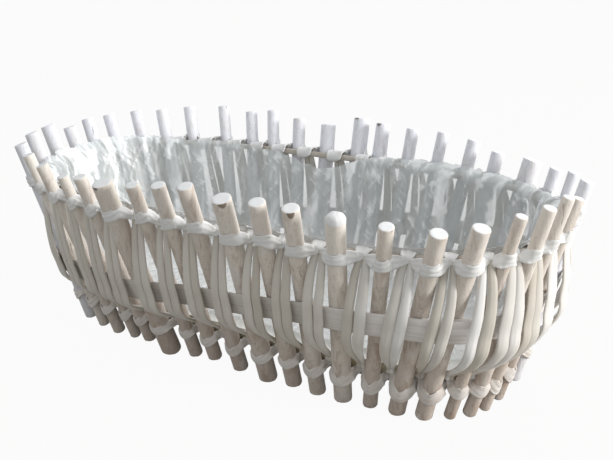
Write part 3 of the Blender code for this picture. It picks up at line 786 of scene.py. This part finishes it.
class StripWay:
    # the key stations of a strip: out from the hoop, round each stick's front and back over the hoop
    def __init__(self, strip):
        self.strip = strip
        self.atRim = strip is rimStrip
        self.points = [Vector(point) for point in uniquePoints(strip["node"])]
        self.half = binding["clear"] + binding["thickness"] / 2
        self.keys = []
        for index in range(stickCount):
            self.cross(index, -1)
            self.loop(index)
            self.cross(index, 1)

    def cross(self, index, side):
        # over or under the hoop, on one side of a stick
        strip, tie = self.strip, self.strip["tie"]
        gap = index - (side < 0)
        room = gapRoom(gap, tie)
        roomy = room > binding["narrowGap"]
        if not self.atRim:
            for step in strip["side"] if side < 0 else reversed(strip["side"]):
                self.tied(index, step, side, rods[index].radius(tie) * side, room)
            return
        row = "front" if index < frontCount else "back"
        if side < 0:
            steps = strip[row + "In"] if roomy else strip[row + "In"][:-1]
        else:
            steps = strip[row + "Out"] if roomy else strip[row + "Out"][1:]
        for step in steps:
            self.tied(gapMiddle(gap, tie), step, 1, 0.0, room)

    def tied(self, place, step, mirror, offset, room):
        aside, out, rise, facing, wide = step
        if self.atRim:
            wide *= binding["narrowWidth"] + (1 - binding["narrowWidth"]) * room
        big = hoop["radius"] + self.half
        centre, along, outward, up = wall.frameAt(place, self.strip["tie"])
        middle = centre + outward * hoopOut + along * (offset + aside * room * mirror)
        face = outward * facing[0] + up * facing[1] + along * facing[2] * mirror
        spot = middle + outward * out * big + up * rise * big
        self.keys.append((spot, face.normalized(), self.strip["width"] * wide))

    def loop(self, index):
        # round the stick's front
        strip, rod = self.strip, rods[index]
        level, tie = strip["level"], strip["tie"]
        _, along, outward, up = wall.frameAt(index, level)
        front = loopHeight(self.points, index, level)
        ties = [hoopSpot(gapMiddle(gap, tie), tie).z + binding["tieLift"] for gap in (index - 1, index)]
        fullness = 1 + binding["fullness"] * wobble(index, strip["seed"])
        start, swing = strip["sideWidth"]
        for degrees, toFront in binding["turns"]:
            turn = math.radians(degrees)
            side = ease(abs(degrees) / binding["widestTurn"])
            facing = outward * math.cos(turn) + along * math.sin(turn)
            height = front * toFront + ties[degrees >= 0] * (1 - toFront)
            wide = start + swing * side
            if self.atRim:
                height += wingRise(index) * ease(degrees / binding["widestTurn"])
            else:
                height += strip["sideRise"] * side
                wide *= 1 + strip["rightWidth"] * ease((index - 9) / 2) * (index < frontCount)
            place = rod.at(level) + facing * (rod.radius(level) + self.half)
            place += rod.axis * ((height - place.z) / rod.axis.z)
            tilt = (1 - math.cos(turn)) * (0.45 + 0.25 * (degrees > 0)) * strip["wing"] * 2
            self.keys.append((place, (facing + up * tilt).normalized(), strip["width"] * fullness * wide))


def stripSection(share, station):
    # a thin strip with lengthwise creases and slightly rolled edges
    side = share * 2 - 1
    walk = station[3]
    crease = math.sin(share * 15 + wobble(walk, 51, 60) * 3) * (0.6 + wobble(walk, 52, 90))
    rolled = binding["rolled"] * station[2] * side * side
    return side * station[2] / 2, rolled + crease * binding["crease"]


def makeBinding(strip, material):
    stations = smoothStations(StripWay(strip).keys, True, binding["steps"])
    walked = 0
    for number, station in enumerate(stations):
        walked += (station[0] - stations[number - 1][0]).length
        stations[number] = (*station, walked)
    bm = sheetGrid(len(stations), binding["rows"])
    sweep(bm, stations, True, binding["rows"], stripSection)
    bmesh.ops.remove_doubles(bm, verts=bm.verts, dist=1e-7)
    piece = meshPiece(strip["name"], bm, material)
    addModifier(piece, "thickness", "SOLIDIFY", thickness=binding["thickness"], offset=0)
    finishPiece(piece, "strip_willow", strip["node"])


makeBinding(rimStrip, makeWood("peeledStrip", stripLook))
makeBinding(footStrip, makeWood("footStrip", footStripLook))
print("bindings made")

# lath

lath = {
    "height": 0.075, "width": 0.0172, "thickness": 0.0012, "edge": 0.0003, "sag": 0.0195,
    "sagStart": 0.25, "sagEnd": 0.85, "halfLength": 0.21, "start": 13.15, "end": 14.55, "ramp": 0.5,
    "rows": 6, "stepsPerStick": 10, "waver": 0.0001,
}


def lathMiddle(place):
    centre, _ = wall.line(place, lath["height"])
    fromRight = (lath["halfLength"] - centre.x) / (2 * lath["halfLength"])
    share = (fromRight - lath["sagStart"]) / (lath["sagEnd"] - lath["sagStart"])
    return lath["height"] - lath["sag"] * ease(share)


def lathLevels():
    # how far out the lath's inner face lies at each stick: it bridges the slim ones
    spare = wallSettings["seatGap"] - wallSettings["seatRadius"]
    need = [2 * rod.radius(lath["height"]) + spare for rod in rods]
    beside = zip(need[-1:] + need[:-1], need[1:] + need[:1])
    return [max(own, (left + right) / 2) for own, (left, right) in zip(need, beside)]


levelsOut = lathLevels()


def lathInner(place):
    nearest = round(place)
    part = ease(abs(place - nearest))
    beside = nearest + (1 if place > nearest else -1)
    single = levelsOut[nearest % stickCount] * (1 - part) + levelsOut[beside % stickCount] * part
    # past its own start the lath climbs onto itself
    past = place - stickCount - lath["start"] + lath["ramp"]
    lap = min(max(past / lath["ramp"], 0), 1)
    return single + lap * (lath["thickness"] + 2 * wallSettings["seatGap"])


def makeLath():
    length = stickCount + lath["end"] - lath["start"]
    steps = int(length * lath["stepsPerStick"])
    stations = []
    for step in range(steps + 1):
        place = lath["start"] + length * step / steps
        middle = lathMiddle(place)
        out = lathInner(place) + lath["thickness"] / 2 + lath["waver"] * wobble(place, 31, 0.8)
        _, _, outward, up = wall.frameAt(place, middle)
        stations.append((wall.at(place, middle, out), outward, lath["width"] / up.z))
    bm = sheetGrid(steps, lath["rows"])
    sweep(bm, stations, False, lath["rows"], flatSection)
    piece = meshPiece("middleLath", bm, makeLathFinish())
    addModifier(piece, "thickness", "SOLIDIFY", thickness=lath["thickness"], offset=0)
    addModifier(piece, "edge", "BEVEL", width=lath["edge"], segments=2, limit_method="ANGLE")
    finishPiece(piece, "band_wood", "middle_band")


makeLath()
print("lath made")

# strands

strand = {
    "weavers": 9, "thickness": 0.0034, "fibre": 0.00012, "flatness": 0.75, "sides": 16, "steps": 4,
    "belly": 0.003, "endBelly": 1.0, "endStart": 0.65,
    # extra bulges: place, how wide in places, how much
    "bulges": ((14.6, 1.6, 0.0042), (-0.6, 1.6, -0.0026)),
    "lean": 0.0016, "boardHeight": 0.0315, "seat": -0.0043, "rimRise": 0.0022, "rimOut": 0.0044,
    "slimGap": 0.0105, "drift": 0.0012, "endWidth": 0.25, "endWidthFrom": 0.78, "tailRise": 0.0039,
    "tailWidth": 0.003, "tailSides": 8, "tailKeys": 7, "tailStart": 0.35, "tailLength": 1.25,
}


def outAlong(place):
    # how far along the basket a place lies, 0 in the middle and 1 at its ends
    centre, _ = wall.line(place, lath["height"])
    return centre.x / lath["halfLength"]


def strandBelly(place):
    share = (outAlong(place) - strand["endStart"]) / (1 - strand["endStart"])
    belly = strand["belly"] * (1 + strand["endBelly"] * ease(share))
    for middle, width, extra in strand["bulges"]:
        away = min(place - middle, place - stickCount - middle, key=abs)
        belly += extra * hill(away, width)
    return belly


def strandLean(index):
    # towards the right end the strands lean over to the next stick
    return strand["lean"] * ease((index - 11.5) / 2) * ease((16.5 - index) / 2)


def strandKeys(index, side):
    # one strand from the rim hoop down to the board
    rim = wallSettings["tieHeight"] + strand["rimRise"]
    high = lathMiddle(index + 0.5) + lath["width"] / 2
    low = high - lath["width"]
    lapped = index + stickCount if index <= lath["end"] else index
    face = max(lathInner(lapped), lathInner(lapped + 1), lathInner(lapped + 0.5)) + lath["thickness"]
    face += 0.0002 + strand["thickness"] / 2
    belly = face + strandBelly(index + 0.5)
    seat, board = strand["seat"], strand["boardHeight"]
    upper = hoopOut + strand["rimOut"]
    drift = wobble(index + side * 0.3, 41) * strand["drift"]
    toEnd = ease((abs(outAlong(index + 0.5)) - strand["endWidthFrom"]) / 0.17)
    wide = (1 + wobble(index * 1.9 + side, 42) * 0.16) * (1 + strand["endWidth"] * toEnd)
    fan = 1 + wobble(index * 2.3, 43) * 0.25
    slim = min(freeGap(index, rim) / strand["slimGap"], 1)
    fall, drop = rim - high, low - board
    levels = (
        # height, out, distance from the gap's middle, width
        (rim + 0.0012, hoopOut + 0.0036, 0.002 * slim, 0.004),
        (rim - 0.0035, upper, 0.0023 * slim, 0.0046),
        (high + fall * 0.66, upper + (face - upper) * 0.36, 0.003 * fan * slim, 0.0056),
        (high + fall * 0.32, upper + (face - upper) * 0.76, 0.0034 * fan * slim, 0.0064),
        (high + 0.0015, face + (belly - face) * 0.15, 0.0036, 0.007),
        ((high + low) / 2, face + (belly - face) * 0.5, 0.0037, 0.0073),
        (low - drop * 0.06, belly, 0.0036, 0.0072),
        (low - drop * 0.36, seat + (belly - seat) * 0.84, 0.0031, 0.0064),
        (low - drop * 0.62, seat + (belly - seat) * 0.48, 0.0024, 0.0052),
        (low - drop * 0.84, seat + (belly - seat) * 0.12, 0.0017, 0.0042),
        (board + 0.001, seat - 0.0004, 0.0014, 0.0036),
        (board - 0.0022, seat + 0.0008, 0.0013, 0.004),
    )
    keys = []
    for height, out, aside, width in levels:
        place = gapMiddle(index, height)
        below = ease((rim - height) / 0.03)
        lean = strandLean(index) * below * ease((height - board) / 0.02)
        centre = wall.at(place, height, out, side * aside + drift * below * 0.6 + lean)
        outward = wall.frameAt(place, height)[2]
        keys.append((centre, outward, width * (wide if width > 0.004 else 1)))
    return keys


def tailKeys(index):
    # the strands' tails lie along the foot hoop, behind the next stick
    keys = []
    for step in range(strand["tailKeys"]):
        place = index + strand["tailStart"] + strand["tailLength"] * step / (strand["tailKeys"] - 1)
        height = wallSettings["footHeight"] + strand["tailRise"] + 0.0003 * wobble(place, 46)
        centre, _, outward, _ = wall.frameAt(place, height)
        keys.append((centre + outward * (hoopOut - 0.0004), outward, strand["tailWidth"]))
    return keys


def addStrand(whole, stations, sides, section, tone):
    bm = sheetGrid(len(stations) - 1, sides)
    toneLayer = bm.verts.layers.float.new("tone")
    sweep(bm, stations, False, sides, section)
    for vert in bm.verts:
        vert[toneLayer] = min(max(tone, 0), 1)
    closeSweep(bm, False)
    leg = bpy.data.meshes.new("leg")
    bm.to_mesh(leg)
    bm.free()
    whole.from_mesh(leg)
    bpy.data.meshes.remove(leg)


def makeWeaver(number):
    # the strands of a few gaps: each pair is folded over the rim hoop and tucked in at the board
    strandSection = roundSection(strand["thickness"], strand["flatness"], strand["fibre"])
    tailSection = roundSection(strand["tailWidth"], 1.0)
    first, last = (end * stickCount // strand["weavers"] for end in (number, number + 1))
    whole = bmesh.new()
    whole.loops.layers.uv.new("strip")
    whole.verts.layers.float.new("tone")
    for index in range(first, last):
        for side in (-1, 1):
            stations = smoothStations(strandKeys(index, side), False, strand["steps"])
            tone = 0.5 + wobble(index * 2.7 + side, 44)
            addStrand(whole, stations, strand["sides"], strandSection, tone)
        addStrand(whole, smoothStations(tailKeys(index), False, 2), strand["tailSides"], tailSection, 0.9)
    piece = meshPiece(f"weaver.{number + 1:02d}", whole, strandFinish)
    addModifier(piece, "soft", "SUBSURF", levels=1, render_levels=1)
    finishPiece(piece, "strand_willow", f"weaver_{number + 1:02d}")


for number in range(strand["weavers"]):
    makeWeaver(number)
print("strands made")

# board, which keeps its CAD shape

for slot in nodes["base_board"].material_slots:
    slot.material = makeBoardFinish()

# liner

liner = {
    "columns": 688, "rows": 56, "floorShare": 0.16, "floorRing": -0.03, "floorMiddle": (0.85, 0.08),
    "floorLift": 0.0002, "corner": 0.003, "topStep": 0.0005, "streak": 0.001, "ridge": 0.0006,
    "ragged": 0.0016, "soften": 4, "lipReach": 0.0062, "lipStart": 0.1232, "lipHeight": 0.125,
    "frontTop": 0.1282,
    # where the edge sags: place, depth, width in places
    "dips": (
        (28.7, 0.006, 0.75), (38.6, 0.008, 3.2), (41.8, 0.0035, 1.2), (33.5, 0.003, 2.0),
        (30.4, -0.002, 0.8)),
    "billowPlace": 39.0, "clearBelow": 0.105, "milkyAbove": 0.11, "milkyBelow": 0.045,
}


def billow(place):
    # 1 in the crumpled mass at the left end, 0 elsewhere
    away = abs(((place - liner["billowPlace"] + stickCount / 2) % stickCount) - stickCount / 2)
    return 1 - ease((away - 2.5) / 3.5)


def frontShare(place):
    return ease((place + 0.5) / 1.5) * ease((frontCount + 0.5 - place) / 2)


def levelOut(place, height):
    outward = wall.frameAt(place, height)[2].copy()
    outward.z = 0
    return outward.normalized()


class Skin:
    # the CAD liner's inner face, found by rays from inside the basket
    def __init__(self):
        mesh = nodes["liner"].data
        spots = [vertex.co.copy() for vertex in mesh.vertices]
        self.tree = BVHTree.FromPolygons(spots, [tuple(face.vertices) for face in mesh.polygons])
        above = Vector((0, 0, max(spot.z for spot in spots)))
        self.floor = self.tree.ray_cast(above, Vector((0, 0, -1)))[0].z

    def out(self, place, height):
        inside = wall.at(place, height, liner["floorRing"])
        return self.tree.ray_cast(inside, levelOut(place, height), 0.05)[0]

    def edge(self, place):
        height = wallSettings["rimHeight"] - 0.006
        while self.out(place, height + liner["topStep"]) is not None:
            height += liner["topStep"]
        return height


skin = Skin()


def wrapped(place, across, up, seed):
    # noise that closes on itself round the basket
    turn = place / stickCount * 2 * math.pi
    return noise.noise(Vector((math.cos(turn) * across, math.sin(turn) * across, seed + up)))


def filmWrinkle(place, height):
    # fine folds: soft upright streaks and sharper slanting ridges, and how strong each is
    rise = height * 1000
    streak = wrapped(place, 22, rise * 0.012, 1.3) + 0.5 * wrapped(place, 50, rise * 0.02, 4.9)
    slant = wrapped(place + rise * 0.035, 9, rise * 0.02, 8.1)
    back = wrapped(place - rise * 0.05, 13, rise * 0.03, 12.7)
    ridge = max(1 - abs(slant) * 11, 0) + 0.8 * max(1 - abs(back) * 13, 0)
    return streak * liner["streak"] + ridge * liner["ridge"], ridge, streak


def floorSpot(place, share):
    # on the film's floor, from a slim ring in the middle to the wall's foot
    low = skin.floor + liner["floorLift"]
    ring = wall.at(place, low + liner["corner"], liner["floorRing"])
    long, short = liner["floorMiddle"]
    part = share / liner["floorShare"]
    spot = Vector((ring.x * long, ring.y * short, low)).lerp(skin.out(place, low + liner["corner"]), part)
    _, ridge, streak = filmWrinkle(place * 1.3, share * 0.05)
    spot.z = low + 0.0028 * ease((part - 0.7) / 0.3) + ridge * 0.0006 * ease(part * 3)
    return spot, ridge, streak


def wallSpot(place, part, edge):
    # on the film's wall, up to its ragged edge, which leans out over the hoop
    ragged = liner["ragged"] * (wrapped(place, 30, 0, 21.0) + 0.5 * wrapped(place, 90, 0, 23.0))
    top = edge + ragged - sum(depth * hill(place - middle, wide) for middle, depth, wide in liner["dips"])
    top += (liner["frontTop"] + ragged * 0.5 - top) * frontShare(place)
    foot = skin.floor + liner["floorLift"] + liner["corner"]
    height = foot + (top - foot) * part
    spot = skin.out(place, min(height, edge))
    outward = levelOut(place, height)
    lip = liner["lipReach"] * ease((height - liner["lipStart"]) / 0.0035)
    if height > liner["lipHeight"]:
        height += (liner["lipHeight"] - height) * 0.6 * frontShare(place)
    inGap = 1 - 0.35 * ease(1 - min(place % 1, 1 - place % 1) * 4)
    spot = spot + outward * (0.0003 + lip * inGap)
    spot.z = height
    return spot, outward


def makeLiner():
    columns, rows, floorShare = liner["columns"], liner["rows"], liner["floorShare"]
    edges = [skin.edge(column / columns * stickCount) for column in range(columns)]
    bm = sheetGrid(columns, rows)
    crease, haze, milk = (bm.verts.layers.float.new(name) for name in ("crease", "haze", "milk"))
    upright = []
    for vert in bm.verts:
        column = round((vert.co.x + 1) / 2 * columns) % columns
        share = (vert.co.y + 1) / 2
        place = column / columns * stickCount
        if share < floorShare:
            vert.co, ridge, streak = floorSpot(place, share)
            vert[haze], vert[milk] = 0.9, 1.0
        else:
            part = (share - floorShare) / (1 - floorShare)
            vert.co, outward = wallSpot(place, part, edges[column])
            height = vert.co.z
            _, ridge, streak = filmWrinkle(place, height)
            upright.append((vert, outward, place, height, part))
            # the front wall is clear below its crumpled edge, the back wall hazy and milky at its foot
            front = frontShare(place)
            vert[haze] = 1 - front * (1 - ease((height - liner["clearBelow"]) / 0.01))
            # the front wall's top band is made milky and pale: painted light, as that band faces away from
            # the lamps
            paleLitBand = 0.75 * ease((height - liner["milkyAbove"]) / 0.008) * front
            vert[milk] = max((1 - ease((height - liner["milkyBelow"]) / 0.025)) * (1 - front), paleLitBand)
        # paler towards the top and most in the left billow: painted highlight, besides the film's own
        # milkiness in its creases
        lift = ease((vert.co.z - 0.095) / 0.03)
        vert[crease] = min(max(ridge * 0.55 + streak * 0.8 + lift * (0.18 + 0.22 * billow(place)), 0), 1)
    bmesh.ops.remove_doubles(bm, verts=bm.verts, dist=1e-7)
    inner = [vert for vert in bm.verts if not vert.is_boundary]
    for _ in range(liner["soften"]):
        bmesh.ops.smooth_vert(bm, verts=inner, factor=0.5, use_axis_x=True, use_axis_y=True, use_axis_z=True)
    for vert, outward, place, height, part in upright:
        if vert.is_valid:
            fade = ease(part / 0.08) * (1 + 1.6 * billow(place) * ease((height - 0.1) / 0.02))
            vert.co = vert.co - outward * filmWrinkle(place, height)[0] * fade
    holes = [edge for edge in bm.edges if edge.is_boundary and edge.verts[0].co.z < skin.floor + 0.01]
    bmesh.ops.holes_fill(bm, edges=holes, sides=0)
    bmesh.ops.recalc_face_normals(bm, faces=bm.faces)
    finishPiece(meshPiece("filmLiner", bm, filmFinish), "clear_film", "liner")


makeLiner()
print("liner made")

# floor, light and camera

stage = {
    "floorSize": 3.0, "floorColour": (0.31, 0.3, 0.27), "whiteShare": 0.95,
    "skyColour": (0.95, 0.975, 1.0), "skyStrength": 0.66, "white": (1, 1, 1),
    # where each lamp stands, where it points, its size, power and colour
    "lamps": {
        "topLamp": ((0.4, 0.62, 1.15), (0, 0, 0.08), 0.8, 6.5, (0.98, 0.99, 1.0)),
        "sideLamp": ((1.35, 0.2, 0.46), (0.05, 0, 0.08), 0.5, 16, (1.0, 0.985, 0.97)),
    },
    # the photo's camera, with its angles in degrees
    "azimuth": 32.13,
    "elevation": 20.46, "roll": -1.87, "cameraPlace": (0.3465, -0.5164, 0.3188), "lens": 52.12,
    "sensor": 36,
}


def makeFloor():
    # lit as a pale floor, but shown white
    bm = bmesh.new()
    bmesh.ops.create_grid(bm, x_segments=1, y_segments=1, size=stage["floorSize"])
    finish = Finish("paleFloor", Roughness=0.9, Base_Color=stage["floorColour"])
    lit = Signal(finish, finish.shader.outputs[0])
    glow = finish.add("Emission", None, {"Color": stage["white"], "Strength": 1})
    mixed = finish.add("MixShader", None, {0: finish.seen() * stage["whiteShare"], 1: lit, 2: glow})
    finish.feed(finish.tree.nodes["Material Output"].inputs["Surface"], mixed)
    floor = meshPiece("floor", bm, finish.material, smooth=False)


def makeSky():
    world = bpy.data.worlds.new("sky")
    bpy.context.scene.world = world
    world.use_nodes = True
    world.node_tree.nodes.clear()
    sky = Shading(world.node_tree)
    light = sky.add("Background", None, {
        "Color": stage["skyColour"], "Strength": stage["skyStrength"]})
    white = sky.add("Background", None, {"Color": stage["white"], "Strength": 1})
    mixed = sky.add("MixShader", None, {0: sky.seen(), 1: light, 2: white})
    sky.feed(world.node_tree.nodes.new("ShaderNodeOutputWorld").inputs["Surface"], mixed)


def makeLamp(name, place, target, size, power, colour):
    lamp = bpy.data.lights.new(name, "AREA")
    lamp.shape = "DISK"
    lamp.size = size
    lamp.energy = power
    lamp.color = colour
    holder = bpy.data.objects.new(name, lamp)
    bpy.context.scene.collection.objects.link(holder)
    holder.location = place
    holder.rotation_mode = "QUATERNION"
    holder.rotation_quaternion = (Vector(place) - Vector(target)).to_track_quat("Z", "Y")


def makeCamera():
    azimuth, elevation, roll = (math.radians(stage[key]) for key in ("azimuth", "elevation", "roll"))
    flat = math.cos(elevation)
    back = Vector((math.sin(azimuth) * flat, -math.cos(azimuth) * flat, math.sin(elevation)))
    level = Vector((math.cos(azimuth), math.sin(azimuth), 0))
    top = back.cross(level)
    right = level * math.cos(roll) + top * math.sin(roll)
    upward = top * math.cos(roll) - level * math.sin(roll)
    data = bpy.data.cameras.new("photoCamera")
    data.lens = stage["lens"]
    data.sensor_width = stage["sensor"]
    camera = bpy.data.objects.new("photoCamera", data)
    bpy.context.scene.collection.objects.link(camera)
    turn = Matrix((right, upward, back)).transposed().to_4x4()
    turn.translation = Vector(stage["cameraPlace"])
    camera.matrix_world = turn
    bpy.context.scene.camera = camera


makeFloor()
makeSky()
for name, numbers in stage["lamps"].items():
    makeLamp(name, *numbers)
makeCamera()
bpy.context.scene.view_settings.view_transform = "Standard"
